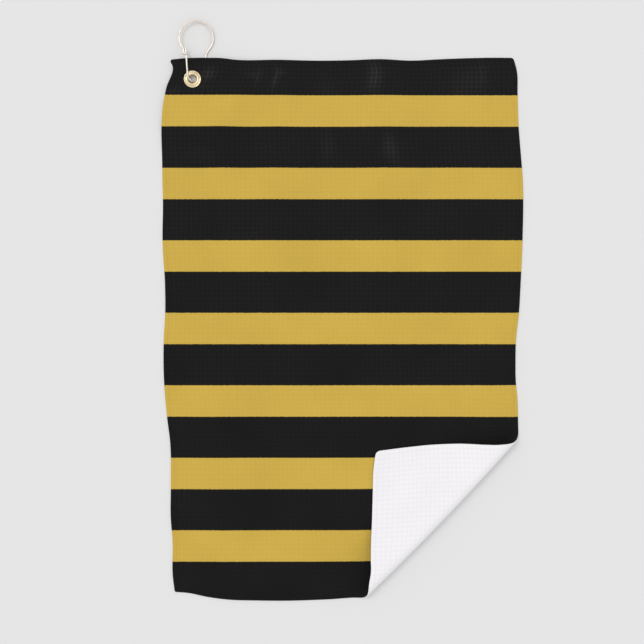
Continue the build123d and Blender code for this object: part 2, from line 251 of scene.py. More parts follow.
def smoothLine(points, perStretch=24):
    # a smooth line through the points, and how far along it each of its places is
    points = np.array(points, float)
    steps = np.linalg.norm(np.diff(points, axis=0), axis=1)
    stops = np.concatenate([[0], np.cumsum(steps)])
    slopes = np.gradient(points, stops, axis=0)
    at = np.linspace(0, stops[-1], perStretch * len(steps) + 1)
    i = np.clip(np.searchsorted(stops, at, side="right") - 1, 0, len(steps) - 1)
    h = steps[i][:, None]
    u = ((at - stops[i]) / steps[i])[:, None]
    line = ((2 * u**3 - 3 * u**2 + 1) * points[i] + (u**3 - 2 * u**2 + u) * h * slopes[i]
            + (3 * u**2 - 2 * u**3) * points[i + 1] + (u**3 - u**2) * h * slopes[i + 1])
    length = np.concatenate([[0], np.cumsum(np.linalg.norm(np.diff(line, axis=0), axis=1))])
    return line, length


def onCrease(out, along):
    # a point given in the crease's axes, in millimetres, as a place on the floor
    return creaseMiddle + mm * out * creaseOut + mm * along * creaseAlong


# The flap comes off the top of the roll in a soft S, then lies flat.
flapTop = cloth["restHeight"] + 2 * rollMid
flapSpan = corner["landing"] * mm - rollOuter
flapDrop = flapTop - corner["restHeight"] * mm
flapSteps = np.linspace(0, flapSpan, 200)
flapFall = flapDrop * smoothStep(0, flapSpan, flapSteps)
flapLength = np.concatenate([[0], np.cumsum(np.hypot(np.diff(flapSteps), np.diff(flapFall)))])


def unrolled(out, along):
    # where a point of the turned flap, seen from above, lies once the corner is opened flat
    inward = -out * mm - rollOuter
    stretch = np.interp(inward, flapSteps, flapLength) + max(0.0, inward - flapSpan)
    return onCrease((rollArc - rollOuter + stretch) / mm, along)


def edgePoints():
    # the four edges of the opened cloth as lists of places
    left = [(panelLow.x + mm * a, panelHigh.y - mm * b) for a, b in outline["left"]]
    right = [(panelHigh.x - mm * a, panelHigh.y - mm * b) for a, b in outline["right"]]
    top = [(panelLow.x + mm * b, panelHigh.y - mm * a) for a, b in outline["top"]]
    bottom = [(panelLow.x + mm * b, panelLow.y + mm * a) for a, b in outline["bottom"]]
    rollIn, rollOut = -rollOuter / mm, (rollArc - rollOuter) / mm
    tip = unrolled(*corner["tip"])
    right += [onCrease(rollIn, corner["sideOnRoll"][0]), onCrease(rollOut, corner["sideOnRoll"][1])]
    right += [unrolled(*point) for point in corner["sideEdge"]] + [tip]
    bottom += [onCrease(rollIn, corner["bottomOnRoll"][0]), onCrease(rollOut, corner["bottomOnRoll"][1])]
    bottom += [unrolled(*point) for point in corner["bottomEdge"]] + [tip]
    return left, right, [left[0]] + top + [right[0]], [left[-1]] + bottom


edgeLines = dict(zip(("left", "right", "top", "bottom"), map(smoothLine, edgePoints())))
print("cloth edges, mm:", {name: round(length[-1] / mm, 1) for name, (line, length) in edgeLines.items()})


# The rows of the weave run straight from side to side, and give only near the corners.
rows = {
    "first": 2.3,                     # mm below the top of the laid cloth, were it square
    "span": 593.8,                    # mm from the first row to the last, opened
    "giveTop": 0.06,                  # shares of the length over which the rows give
    "giveLeft": 0.935,
    "giveRight": 0.66,
    "fadeBottom": 0.945,              # where the ripples of the bottom edge begin
}
firstRow = panelHigh.y - rows["first"] * mm
lastRow = firstRow - rows["span"] * mm


def onEdge(name, share):
    line, length = edgeLines[name]
    return np.stack([np.interp(share * length[-1], length, line[:, k]) for k in (0, 1)], axis=-1)


def betweenSides(a, b):
    # a place between the side edges, at shares a across and b along the cloth
    straight = firstRow + (lastRow - firstRow) * b
    placeX, placeY = 0, straight
    for name, give, share, near in (("left", rows["giveLeft"], 1 - a, 1 - smoothStep(0, 0.5, a)),
                                    ("right", rows["giveRight"], a, smoothStep(0.5, 1, a))):
        line = edgeLines[name][0]
        shift = (line[0, 1] - firstRow) * (1 - smoothStep(0, rows["giveTop"], b))
        shift = shift + (line[-1, 1] - lastRow) * smoothStep(give, 1, b)
        placeX = placeX + share * np.interp(-straight - shift, -line[:, 1], line[:, 0])
        placeY = placeY + near * shift
    return np.stack([placeX, placeY], axis=-1)


def roundCorners(across, along):
    # draws the four square corners of the cloth in to round ones
    width, length = cloth["width"], cloth["length"]
    places = ((0, 0), (width, 0), (0, length), (width, length))
    for (cornerX, cornerY), radius in zip(places, cloth["cornerRounding"]):
        sideX, sideY = (1 if cornerX == 0 else -1), (1 if cornerY == 0 else -1)
        p = 1 - np.clip((across - cornerX) * sideX / radius, 0, 1)
        q = 1 - np.clip((along - cornerY) * sideY / radius, 0, 1)
        near = (p > 0) & (q > 0)
        across = np.where(near, cornerX + sideX * radius * (1 - p * np.sqrt(1 - q * q / 2)), across)
        along = np.where(near, cornerY + sideY * radius * (1 - q * np.sqrt(1 - p * p / 2)), along)
    return across, along


def openedPlace(across, along):
    # where a point of the cloth lies with the corner opened flat
    across, along = roundCorners(across, along)
    a, b = across / cloth["width"], along / cloth["length"]
    place = betweenSides(a, b)
    # the ripples of the top and bottom edges die out a little way in
    nearTop, nearBottom = 1 - smoothStep(0, rows["giveTop"], b), smoothStep(rows["fadeBottom"], 1, b)
    for near, name, end in ((nearTop, "top", 0.0), (nearBottom, "bottom", 1.0)):
        place += near[..., None] * (onEdge(name, a) - betweenSides(a, np.full_like(a, end)))
    return place


def ridgeHeight(place):
    # how far the soft ridges lift the laid cloth
    total = np.zeros(place.shape[:-1])
    for ridge in ridges:
        start, end = (np.array(p) * mm for p in ridge["line"])
        run = end - start
        share = ((place - start) @ run) / (run @ run)
        away = np.linalg.norm(place - start - np.clip(share, 0, 1)[..., None] * run, axis=-1)
        fade = smoothStep(-0.25, 0.2, share) * (1 - smoothStep(0.6, 1.2, share))
        total += ridge["height"] * mm * fade * np.exp(-((away / (ridge["width"] * mm)) ** 2))
    return total


def fromCrease(place):
    # how far out from the crease a place is, and how far along it from its middle
    return (place - creaseMiddle) @ creaseOut, (place - creaseMiddle) @ creaseAlong


def laidLift(place, out, run):
    # how far the laid cloth is held up by the hook's leg and by its own ridges
    fromEyelet = np.hypot(place[..., 0] - eyeletX, place[..., 1] - eyeletY)
    raised = panelHigh.z - cloth["restHeight"] - cloth["outsideHalf"]
    ramp = smoothStep(cloth["raisedRadius"], cloth["raisedRadius"] + cloth["rampLength"], fromEyelet)
    underFlap, besideFlap, nearEyelet = (np.array(ends) * mm for ends in ridgeFree.values())
    covered = smoothStep(*underFlap, out) * smoothStep(*besideFlap, np.abs(run))
    return raised * (1 - ramp) + ridgeHeight(place) * (1 - covered) * smoothStep(*nearEyelet, fromEyelet)


def clothMiddle(across, along):
    # the middle of the cloth as it lies, and the way that its printed face looks
    place = openedPlace(across, along)
    out, run = fromCrease(place)
    past = out + rollOuter                       # how far past the start of the roll
    angle = np.clip(past / rollMid, 0, math.pi)
    flapPast = past - rollArc
    inward = np.interp(flapPast, flapLength, flapSteps) + np.maximum(0, flapPast - flapLength[-1])
    flapSlope = np.gradient(flapFall, flapSteps)
    lean = np.arctan(np.interp(inward, flapSteps, flapSlope)) * (inward < flapSpan)

    lying = past <= 0
    turned = past > rollArc
    rolledOut = np.where(turned, -rollOuter - inward, -rollOuter + rollMid * np.sin(angle))
    newOut = np.where(lying, out, rolledOut)
    fall = np.interp(inward, flapSteps, flapFall)
    height = np.where(turned, flapTop - fall, cloth["restHeight"] + rollMid * (1 - np.cos(angle)))
    height = height + np.where(lying, laidLift(place, out, run), 0)

    bowOut, bowAt, bowReach = corner["bow"]
    bow = bowOut * mm * np.clip(1 - ((run / mm - bowAt) / bowReach) ** 2, corner["bowEnds"], 1)
    newOut = newOut + bow * smoothStep(*(np.array(corner["bowFade"]) * mm), newOut)

    middle = np.empty(place.shape[:-1] + (3,))
    middle[..., :2] = creaseMiddle + newOut[..., None] * creaseOut + run[..., None] * creaseAlong
    middle[..., 2] = height
    faceOut = np.where(turned, np.sin(lean), -np.sin(angle))
    faceUp = np.where(turned, -np.cos(lean), np.cos(angle))
    facing = np.empty_like(middle)
    facing[..., :2] = faceOut[..., None] * creaseOut
    facing[..., 2] = faceUp
    return middle, facing


def faceHeight(across, along, side):
    # how far a face of the cloth stands from its middle: side 1 is the printed face, -1 the back
    edge = np.minimum.reduce([across, cloth["width"] - across, along, cloth["length"] - along])
    waves = [(0.5 + 0.5 * np.cos(2 * math.pi * place / size * cells)) ** cloth["sharpness"]
             for place, size, cells in ((across, cloth["width"], cloth["cellsAcross"]),
                                        (along, cloth["length"], cloth["cellsAlong"]))]
    ridge = 1 - (1 - waves[0]) * (1 - waves[1])
    if side < 0:
        ridge = 1 - ridge             # a ridge on the face is a groove on the back
    place = openedPlace(across, along)
    fromEyelet = np.hypot(place[..., 0] - eyeletX, place[..., 1] - eyeletY)
    hem = cloth["hemWidth"]
    pressed = smoothStep(*cloth["pressedFlat"], fromEyelet)
    pastHem = smoothStep(hem - 1 * mm, hem + 1 * mm, edge)
    soft = (cloth["hemRelief"] + (1 - cloth["hemRelief"]) * pastHem) * pressed
    height = cloth["halfThickness"] + cloth["relief"] * (ridge - 0.5) * soft
    height = height + cloth["hemSwell"] * (1 - smoothStep(hem - 0.6 * mm, hem + 1 * mm, edge))
    groove = np.exp(-(((edge - cloth["stitchInset"]) / cloth["stitchGroove"]) ** 2))
    height = height - cloth["stitchDip"] * groove
    height = height + (cloth["outsideHalf"] - cloth["halfThickness"]) * (1 - pressed)
    rounding = 1 - np.clip(edge / cloth["edgeRounding"], 0, 1)
    return height * np.sqrt(np.clip(1 - rounding**2, 0, 1))


def gridLines(size, cells):
    # the mesh lines across the cloth: close together in the hem, then an even number to each cell
    near = np.array(cloth["hemLines"]) * mm
    step = size / cells / cloth["linesPerCell"]
    even = np.arange(math.ceil((near[-1] + 0.5 * step) / step), cells * cloth["linesPerCell"] + 1) * step
    even = even[even < size - near[-1] - 0.4 * step]
    return np.concatenate([near, even, size - near[::-1]])


def gridNormals(points):
    # up where the cloth lies, as its rows run down the towel and its columns across it
    normal = np.cross(np.gradient(points, axis=0), np.gradient(points, axis=1))
    return normal / np.maximum(np.linalg.norm(normal, axis=-1, keepdims=True), 1e-12)


def newMesh(name, points, faces, materials, faceLooks=None, uv=None, normals=None):
    mesh = bpy.data.meshes.new(name)
    mesh.from_pydata(points.tolist(), [], faces if isinstance(faces, list) else faces.tolist())
    mesh.polygons.foreach_set("use_smooth", np.ones(len(mesh.polygons), bool))
    for material in materials:
        mesh.materials.append(material)
    if faceLooks is not None:
        mesh.polygons.foreach_set("material_index", np.asarray(faceLooks, np.int32))
    if uv is not None:
        corners = np.empty(len(mesh.loops), np.int32)
        mesh.loops.foreach_get("vertex_index", corners)
        layer = mesh.uv_layers.new(name="clothFlat")
        layer.uv.foreach_set("vector", uv[corners].astype(np.float32).ravel())
    mesh.update()
    mesh.validate()
    if normals is not None:
        mesh.normals_split_custom_set_from_vertices(normals.tolist())
    piece = bpy.data.objects.new(name, mesh)
    bpy.context.scene.collection.objects.link(piece)
    return piece


acrossLines = gridLines(cloth["width"], cloth["cellsAcross"])
alongLines = gridLines(cloth["length"], cloth["cellsAlong"])
along, across = np.meshgrid(alongLines, acrossLines, indexing="ij")
middle, facing = clothMiddle(across, along)
bothFaces = [middle + side * facing * faceHeight(across, along, side)[..., None] for side in (1, -1)]
printedNormals, backNormals = gridNormals(bothFaces[0]), -gridNormals(bothFaces[1])
rim = np.zeros(across.shape, bool)               # the two faces meet on the cloth's edge
rim[[0, -1], :] = True
rim[:, [0, -1]] = True
rimNormals = printedNormals + backNormals
rimNormals /= np.maximum(np.linalg.norm(rimNormals, axis=-1, keepdims=True), 1e-9)
printedNormals = np.where(rim[..., None], rimNormals, printedNormals)
print("cloth laid:", across.size, "points a face")


def cellSquares(ids, cells):
    i, j = np.nonzero(cells)
    return np.stack([ids[i, j], ids[i + 1, j], ids[i + 1, j + 1], ids[i, j + 1]], axis=1)


def cutWalls(keep, number, below):
    # closes the cloth between its two faces wherever a kept cell lies next to one that isn't
    walls = []
    padded = np.pad(keep, 1)
    tall, wide = keep.shape
    for di, dj, first, second in ((-1, 0, (0, 1), (0, 0)), (1, 0, (1, 0), (1, 1)),
                                  (0, -1, (0, 0), (1, 0)), (0, 1, (1, 1), (0, 1))):
        other = padded[1 + di:1 + di + tall, 1 + dj:1 + dj + wide]
        i, j = np.nonzero(keep & ~other)
        inside = (i + di >= 0) & (i + di < tall) & (j + dj >= 0) & (j + dj < wide)
        i, j = i[inside], j[inside]
        a, b = (number[i + o[0], j + o[1]] for o in (first, second))
        c, d = (below[i + o[0], j + o[1]] for o in (second, first))
        walls.append(np.stack([a, b, c, d], axis=1))
    return np.concatenate(walls)


def clothPiece(name, keep):
    # a closed piece of the cloth from the grid's cells where keep is true
    number = np.arange(across.size).reshape(across.shape)
    below = np.where(rim, number, number + across.size)
    top, bottom = cellSquares(number, keep), cellSquares(below, keep)[:, ::-1]
    walls = cutWalls(keep, number, below)
    looks = np.concatenate([np.zeros(len(top)), np.ones(len(bottom) + len(walls))])
    used, faces = np.unique(np.concatenate([top, bottom, walls]), return_inverse=True)
    points = np.concatenate([face.reshape(-1, 3) for face in bothFaces])[used]
    normals = np.concatenate([printedNormals.reshape(-1, 3), backNormals.reshape(-1, 3)])[used]
    flat = np.stack([across / cloth["width"], along / cloth["length"]], axis=-1).reshape(-1, 2)
    flat = np.concatenate([flat, flat])[used]
    return newMesh(name, points, faces.reshape(-1, 4), [printedCloth, plainCloth], looks, flat, normals)


# the cloth's looks: fine knit, waffle shade, and stripes on the printed face
stripes = {
    "pitch": 79.4, "width": 34.25, "first": 40.0,     # mm along the cloth, the first from the top edge
    "bleed": 0.55,                                    # mm over which one ink goes over to the other
    "black": (0.0050, 0.0049, 0.0051),
    "gold": (0.590, 0.400, 0.066),
    "white": (0.884, 0.867, 0.896),
    "paleFibreAndSheen": (0.62, 0.60, 0.57),                        # bare fibre that shows through the ink, and the colour of the painted sheen
}

# Soft patches of painted sheen, where the cloth catches the light: place on the flat cloth and reach, both
# in millimetres, and strength.
paintedSheenPatches = [
    ((42, 18), (8, 7), 0.9), ((29, 24), (4, 10), 0.5), ((8, 36), (7, 5), 0.4),
    ((40, 32), (10, 3), 0.3), ((93, 17), (8, 4), 0.35), ((99, 20), (3, 12), 0.35),
    ((119, 22), (3.5, 11), 0.8), ((124, 14), (5, 4), 0.4), ((231, 20), (8, 17), 0.9),
    ((248, 94), (7, 15), 0.55), ((254, 104), (5, 12), 0.3), ((178, 30), (10, 12), 0.2),
    ((180, 95), (9, 20), 0.35), ((40, 105), (26, 10), 0.15), ((338, 26), (20, 16), 0.35),
    ((352, 18), (5, 14), 0.3),
]


def clothPattern(tree):
    # places on the flat cloth in millimetres, and how near the top of a waffle ridge each is
    place = addNode(tree, "UVMap", uv_map="clothFlat").outputs[0]
    split = addNode(tree, "SeparateXYZ", {0: place}).outputs
    sideways = calc(tree, "MULTIPLY", split[0], cloth["width"] / mm)
    down = calc(tree, "MULTIPLY", split[1], cloth["length"] / mm)
    laid = addNode(tree, "CombineXYZ", {0: sideways, 1: down}).outputs[0]
    hollows = []
    for value, size, cells in ((sideways, "width", "cellsAcross"), (down, "length", "cellsAlong")):
        turn = calc(tree, "MULTIPLY", value, 2 * math.pi * cloth[cells] / (cloth[size] / mm))
        wave = calc(tree, "COSINE", turn)
        peak = calc(tree, "POWER", mapRange(tree, wave, -1, 1, 0, 1), cloth["sharpness"])
        hollows.append(calc(tree, "SUBTRACT", 1.0, peak))
    ridge = calc(tree, "SUBTRACT", 1.0, calc(tree, "MULTIPLY", *hollows))
    return sideways, down, laid, ridge


def knitBump(tree, shader, laid, strength):
    # fine loops of the knit, then a looser fuzz
    loops = addNode(tree, "TexVoronoi", {"Vector": laid, "Scale": 1.9, "Randomness": 0.7})
    fuzz = addNode(tree, "TexNoise", {"Vector": laid, "Scale": 3.4, "Detail": 3.0, "Roughness": 0.65})
    height = calc(tree, "ADD", calc(tree, "MULTIPLY", loops.outputs["Distance"], 0.6), fuzz.outputs[0])
    bump = addNode(tree, "Bump", {"Height": height, "Strength": strength, "Distance": 0.00016})
    tree.links.new(bump.outputs[0], shader.inputs["Normal"])
    return fuzz.outputs[0]


def clothFinish(shader, sheen):
    shader.inputs["Roughness"].default_value = 0.92
    shader.inputs["Specular IOR Level"].default_value = 0.16
    shader.inputs["Sheen Weight"].default_value = sheen
    shader.inputs["Sheen Roughness"].default_value = 0.55


def stripeColour(tree, down, laid):
    # the printed stripes, with an edge that wanders by a fraction of a stitch
    wander = addNode(tree, "TexNoise", {"Vector": laid, "Scale": 0.35, "Detail": 4.0}).outputs[0]
    drift = mapRange(tree, wander, 0, 1, -0.5, 0.5)
    place = calc(tree, "ADD", down, drift)
    turns = calc(tree, "DIVIDE", calc(tree, "SUBTRACT", place, stripes["first"]), stripes["pitch"])
    share = calc(tree, "FRACT", turns)
    soft, end = stripes["bleed"] / stripes["pitch"], stripes["width"] / stripes["pitch"]
    rise = mapRange(tree, share, 0, soft, 0, 1)
    fall = mapRange(tree, share, end, end + soft, 1, 0)
    return mixColour(tree, calc(tree, "MINIMUM", rise, fall), stripes["black"], stripes["gold"])


def tinted(tree, colour, shadeAndTone):
    # a colour made lighter or darker by a tone
    node = addNode(tree, "VectorMath", {0: colour, "Scale": shadeAndTone}, operation="SCALE")
    return node.outputs[0]


def paintedSheenPatch(tree, sideways, down, patch):
    # one round patch of painted sheen, strongest in its middle
    places, reaches, strength = patch
    away = None
    for value, place, reach in zip((sideways, down), places, reaches):
        square = calc(tree, "POWER", calc(tree, "DIVIDE", calc(tree, "SUBTRACT", value, place), reach), 2.0)
        away = square if away is None else calc(tree, "ADD", away, square)
    return calc(tree, "MULTIPLY", calc(tree, "EXPONENT", calc(tree, "MULTIPLY", away, -1.0)), strength)


def makePrintedCloth():
    look, tree, shader = newLook("printedWaffle")
    sideways, down, laid, ridge = clothPattern(tree)
    fuzz = knitBump(tree, shader, laid, 0.55)
    ink = stripeColour(tree, down, laid)
    # painted shade darkens the waffle hollows, and the ink varies in faint clouds
    clouds = addNode(tree, "TexNoise", {"Vector": laid, "Scale": 0.016, "Detail": 4.0}).outputs[0]
    shadeAndTone = calc(tree, "MULTIPLY", mapRange(tree, ridge, 0, 1, 0.975, 1.01),
                mapRange(tree, clouds, 0.3, 0.7, 0.96, 1.04))
    shadeAndTone = calc(tree, "MULTIPLY", shadeAndTone, mapRange(tree, fuzz, 0.3, 0.7, 0.93, 1.07))
    # fibres that took no ink show as pale flecks, and painted sheen lightens the ridges, most near the top and in
    # the patches
    endOfCloth = cloth["length"] / mm
    paleFibreAndSheen = calc(tree, "ADD", mapRange(tree, clouds, 0.35, 0.75, 0.0, 0.15),
               mapRange(tree, down, 0, endOfCloth, 0.16, 0.0))
    for patch in paintedSheenPatches:
        paleFibreAndSheen = calc(tree, "ADD", paleFibreAndSheen, paintedSheenPatch(tree, sideways, down, patch))
    shine = calc(tree, "MULTIPLY", calc(tree, "MULTIPLY", paleFibreAndSheen, 0.024),
                 mapRange(tree, ridge, 0.2, 1, 0.35, 1.25))
    sheenAndFlecks = calc(tree, "ADD", shine, mapRange(tree, fuzz, 0.62, 0.78, 0, 0.012))
    colour = mixColour(tree, sheenAndFlecks, tinted(tree, ink, shadeAndTone), stripes["paleFibreAndSheen"])
    tree.links.new(colour, shader.inputs["Base Color"])
    clothFinish(shader, 0.05)
    return look


def makePlainCloth():
    look, tree, shader = newLook("plainWaffle")
    laid, ridge = clothPattern(tree)[2:]
    fuzz = knitBump(tree, shader, laid, 0.45)
    clouds = addNode(tree, "TexNoise", {"Vector": laid, "Scale": 0.02, "Detail": 3.0}).outputs[0]
    # painted shade darkens the grooves of the back face, and the tone varies in faint clouds and fuzz
    shadeAndTone = calc(tree, "MULTIPLY", mapRange(tree, ridge, 0, 1, 1.0, 0.955),
                mapRange(tree, clouds, 0.3, 0.7, 0.985, 1.01))
    shadeAndTone = calc(tree, "MULTIPLY", shadeAndTone, mapRange(tree, fuzz, 0.3, 0.7, 0.985, 1.01))
    tree.links.new(tinted(tree, stripes["white"], shadeAndTone), shader.inputs["Base Color"])
    clothFinish(shader, 0.12)
    return look


def makeThread(name, printed):
    look, tree, shader = newLook(name)
    down, laid = clothPattern(tree)[1:3]
    # two plies twisted together
    twist = addNode(tree, "TexWave", {"Vector": laid, "Scale": 1.4, "Distortion": 0.6},
                    bands_direction="DIAGONAL")
    bump = addNode(tree, "Bump", {"Height": twist.outputs[1], "Strength": 0.5, "Distance": 0.0001})
    tree.links.new(bump.outputs[0], shader.inputs["Normal"])
    colour = stripeColour(tree, down, laid) if printed else stripes["white"]
    # painted shade darkens the thread between its plies
    shadeAndTone = mapRange(tree, twist.outputs[1], 0, 1, 0.82, 1.08)
    tree.links.new(tinted(tree, colour, shadeAndTone), shader.inputs["Base Color"])
    shader.inputs["Roughness"].default_value = 0.8
    shader.inputs["Specular IOR Level"].default_value = 0.12
    shader.inputs["Sheen Weight"].default_value = 0.04
    return look


printedCloth, plainCloth = makePrintedCloth(), makePlainCloth()
printedThread, whiteThread = makeThread("printedThread", True), makeThread("whiteThread", False)


def onLaid(place):
    return fromCrease(place)[0] <= corner["foldFrom"] * mm


def onFlap(place):
    return fromCrease(place)[0] > corner["foldTo"] * mm


def onFold(place):
    return ~onLaid(place) & ~onFlap(place)


# the three cloth pieces: the laid panel, the fold, and the flap that turns with the corner
cellPlace = [(lines[:-1] + lines[1:]) / 2 for lines in (alongLines, acrossLines)]
cellAlong, cellAcross = np.meshgrid(*cellPlace, indexing="ij")
cellOpen = openedPlace(cellAcross, cellAlong)
eyeletAway = np.hypot(cellOpen[..., 0] - eyeletX, cellOpen[..., 1] - eyeletY)
isLaid, isFold, isFlap = onLaid(cellOpen), onFold(cellOpen), onFlap(cellOpen)
towelCloth = clothPiece("towelCloth", isLaid & (eyeletAway > cloth["eyeletHole"]))
foldedRoll = clothPiece("foldedRoll", isFold)
turnedCorner = clothPiece("turnedCorner", isFlap)
print("cloth cut into", towelCloth.name + ",", foldedRoll.name, "and", turnedCorner.name)


# hem stitches: short runs of thread that dip into the cloth at their ends
stitch = {
    "pitch": 3.1 * mm,
    "length": 2.55 * mm,
    "radius": 0.25 * mm,
    "rise": 0.08 * mm,                # how far the middle of a stitch stands out of its groove
    "backRise": -0.10 * mm,           # pulled in further on the back
    "sink": 0.22 * mm,                # how far its ends go in
    "sides": 7,
    "fromCorner": 6.0 * mm,
    "unevenness": 0.07 * mm,
    # along a stitch: share of its length, how far in or out, and thickness
    "steps": (-0.5, -0.36, -0.15, 0.1, 0.35, 0.5),
    "lifts": (-1.0, 0.1, 0.85, 1.0, 0.2, -1.0),
    "thick": (0.55, 0.9, 1.0, 1.0, 0.9, 0.55),
}


def stitchPlaces():
    # flat places and directions of the stitches along the four sides
    width, length, inset = cloth["width"], cloth["length"], cloth["stitchInset"]
    places, ways = [], []
    for upright, at, size in ((True, inset, length), (True, width - inset, length),
                              (False, inset, width), (False, length - inset, width)):
        run = np.arange(stitch["fromCorner"], size - stitch["fromCorner"], stitch["pitch"])
        fixed = np.full(len(run), at)
        places.append(np.stack([fixed, run] if upright else [run, fixed], axis=1))
        ways.append(np.tile((0.0, 1.0) if upright else (1.0, 0.0), (len(run), 1)))
    return np.concatenate(places), np.concatenate(ways)


def sewStitches(name, side, look, keep):
    # a row of thread loops on one side of the cloth: 1 is the printed face, -1 the back
    random = np.random.default_rng(11)
    places, ways = stitchPlaces()
    wobble = random.normal(0, stitch["unevenness"], (len(places), 2))
    keepThese = keep(openedPlace(places[:, 0], places[:, 1]))
    places, ways = (places + wobble)[keepThese], ways[keepThese]
    steps, lifts, thick = (np.array(stitch[key]) for key in ("steps", "lifts", "thick"))
    flat = places[:, None] + ways[:, None] * steps[None, :, None] * stitch["length"]
    center, up = clothMiddle(flat[..., 0], flat[..., 1])
    up = up * side
    rise = stitch["rise"] if side > 0 else stitch["backRise"]
    lift = np.where(lifts > 0, lifts * rise, lifts * stitch["sink"])
    center = center + up * (faceHeight(flat[..., 0], flat[..., 1], side) + lift)[..., None]
    run = np.gradient(center, axis=1)
    run /= np.linalg.norm(run, axis=-1, keepdims=True)
    sideways = np.cross(run, up)
    sideways /= np.linalg.norm(sideways, axis=-1, keepdims=True)
    up = np.cross(sideways, run)
    turn = np.arange(stitch["sides"]) * 2 * math.pi / stitch["sides"]
    ring = np.cos(turn)[:, None] * sideways[:, :, None] + np.sin(turn)[:, None] * up[:, :, None]
    points = center[:, :, None] + ring * (stitch["radius"] * thick)[None, :, None, None]
    count, rings, around = points.shape[:3]
    number = np.arange(count * rings * around).reshape(count, rings, around)
    after = np.roll(number, -1, axis=2)
    quads = np.stack([number[:, :-1], after[:, :-1], after[:, 1:], number[:, 1:]], axis=-1).reshape(-1, 4)
    faces = quads.tolist() + number[:, 0, ::-1].tolist() + number[:, -1].tolist()
    uv = np.repeat(flat.reshape(-1, 2), around, axis=0) / (cloth["width"], cloth["length"])
    return newMesh(name, points.reshape(-1, 3), faces, [look], uv=uv)


faceStitches = sewStitches("faceStitches", 1, printedThread, onLaid)
backStitches = sewStitches("backStitches", -1, whiteThread, onLaid)
foldFaceStitches = sewStitches("foldFaceStitches", 1, printedThread, onFold)
foldBackStitches = sewStitches("foldBackStitches", -1, whiteThread, onFold)
cornerFaceStitches = sewStitches("cornerFaceStitches", 1, printedThread, onFlap)
cornerBackStitches = sewStitches("cornerBackStitches", -1, whiteThread, onFlap)
print("hem sewn")


# brass looks
def makeBrass(name, colour, dark, roughness, scratches):
    look, tree, shader = newLook(name)
    place = addNode(tree, "TexCoord").outputs["Object"]
    stains = addNode(tree, "TexNoise", {"Vector": place, "Scale": 260.0, "Detail": 5.0,
                                        "Roughness": 0.6}).outputs[0]
    scuffs = addNode(tree, "TexNoise", {"Vector": place, "Scale": 2400.0, "Detail": 2.0}).outputs[0]
    worn = mapRange(tree, stains, 0.46, 0.72, 0, 1, "SMOOTHSTEP")
    tree.links.new(mixColour(tree, worn, colour, dark), shader.inputs["Base Color"])
    rough = calc(tree, "ADD", mapRange(tree, stains, 0.3, 0.7, roughness, roughness + 0.13),
                 mapRange(tree, scuffs, 0.5, 0.8, 0, 0.10))
    tree.links.new(rough, shader.inputs["Roughness"])
    height = calc(tree, "ADD", scuffs, calc(tree, "MULTIPLY", stains, 0.7))
    bump = addNode(tree, "Bump", {"Height": height, "Strength": scratches, "Distance": 0.00003})
    tree.links.new(bump.outputs[0], shader.inputs["Normal"])
    shader.inputs["Metallic"].default_value = 1.0
    return look


stampedBrass = makeBrass("stampedBrass", (0.80, 0.67, 0.44), (0.55, 0.42, 0.23), 0.18, 0.5)
platedWire = makeBrass("platedWire", (0.84, 0.78, 0.70), (0.72, 0.62, 0.52), 0.30, 0.4)


# the eyelet and its washer, spun from their sections
eyelet = {
    "turns": 120,
    # radius and height above the cloth in millimetres, round each section
    "section": [(4.75, -2.1), (4.75, -0.9), (4.76, 0.1), (4.95, 0.75), (5.5, 1.17), (6.3, 1.28), (6.95, 1.08),
                (7.35, 0.62), (7.75, 0.42), (8.15, 0.56), (8.6, 0.82), (9.05, 0.78), (9.35, 0.5), (9.4, 0.12),
                (9.2, 0.0), (7.0, 0.0), (5.32, 0.0), (5.3, -1.0), (5.3, -2.05), (6.6, -2.1), (6.75, -2.3),
                (6.6, -2.48), (5.4, -2.5), (4.9, -2.42)],
    "washer": [(5.34, -1.62), (5.34, -2.02), (6.85, -2.04), (7.1, -2.48), (7.7, -2.47), (8.6, -2.28),
               (9.25, -1.98), (9.4, -1.75), (9.3, -1.62), (7.3, -1.6)],
    "unevenness": 0.07,               # mm, from the hand press
    "unevenFrom": (7, 9.4),           # the radii where it begins and is whole
}


def spinPiece(name, section, look):
    points = smoothLine(section + section[:1], 5)[0][:-1]
    random = np.random.default_rng(3)
    turn = np.arange(eyelet["turns"]) * 2 * math.pi / eyelet["turns"]
    dent = sum(random.normal() / k * np.cos(k * turn + random.uniform(0, 6)) for k in (2, 3, 5, 8))
    dented = eyelet["unevenness"] * smoothStep(*eyelet["unevenFrom"], points[:, 0])[None]
    reach = points[:, 0][None] + dent[:, None] * dented
    tall = points[:, 1][None] + np.roll(dent, 17)[:, None] * 0.5 * dented
    spun = np.stack([eyeletX + mm * reach * np.cos(turn)[:, None],
                     eyeletY + mm * reach * np.sin(turn)[:, None], panelHigh.z + mm * tall], axis=-1)
    number = np.arange(spun.shape[0] * spun.shape[1]).reshape(spun.shape[:2])
    nextTurn, nextPoint = np.roll(number, -1, axis=0), np.roll(number, -1, axis=1)
    both = np.roll(nextTurn, -1, axis=1)
    faces = np.stack([number, nextTurn, both, nextPoint], axis=-1).reshape(-1, 4)
    return newMesh(name, spun.reshape(-1, 3), faces, [look])


eyeletRing = spinPiece("eyeletRing", eyelet["section"], stampedBrass)
eyeletWasher = spinPiece("eyeletWasher", eyelet["washer"], stampedBrass)
print("eyelet set")


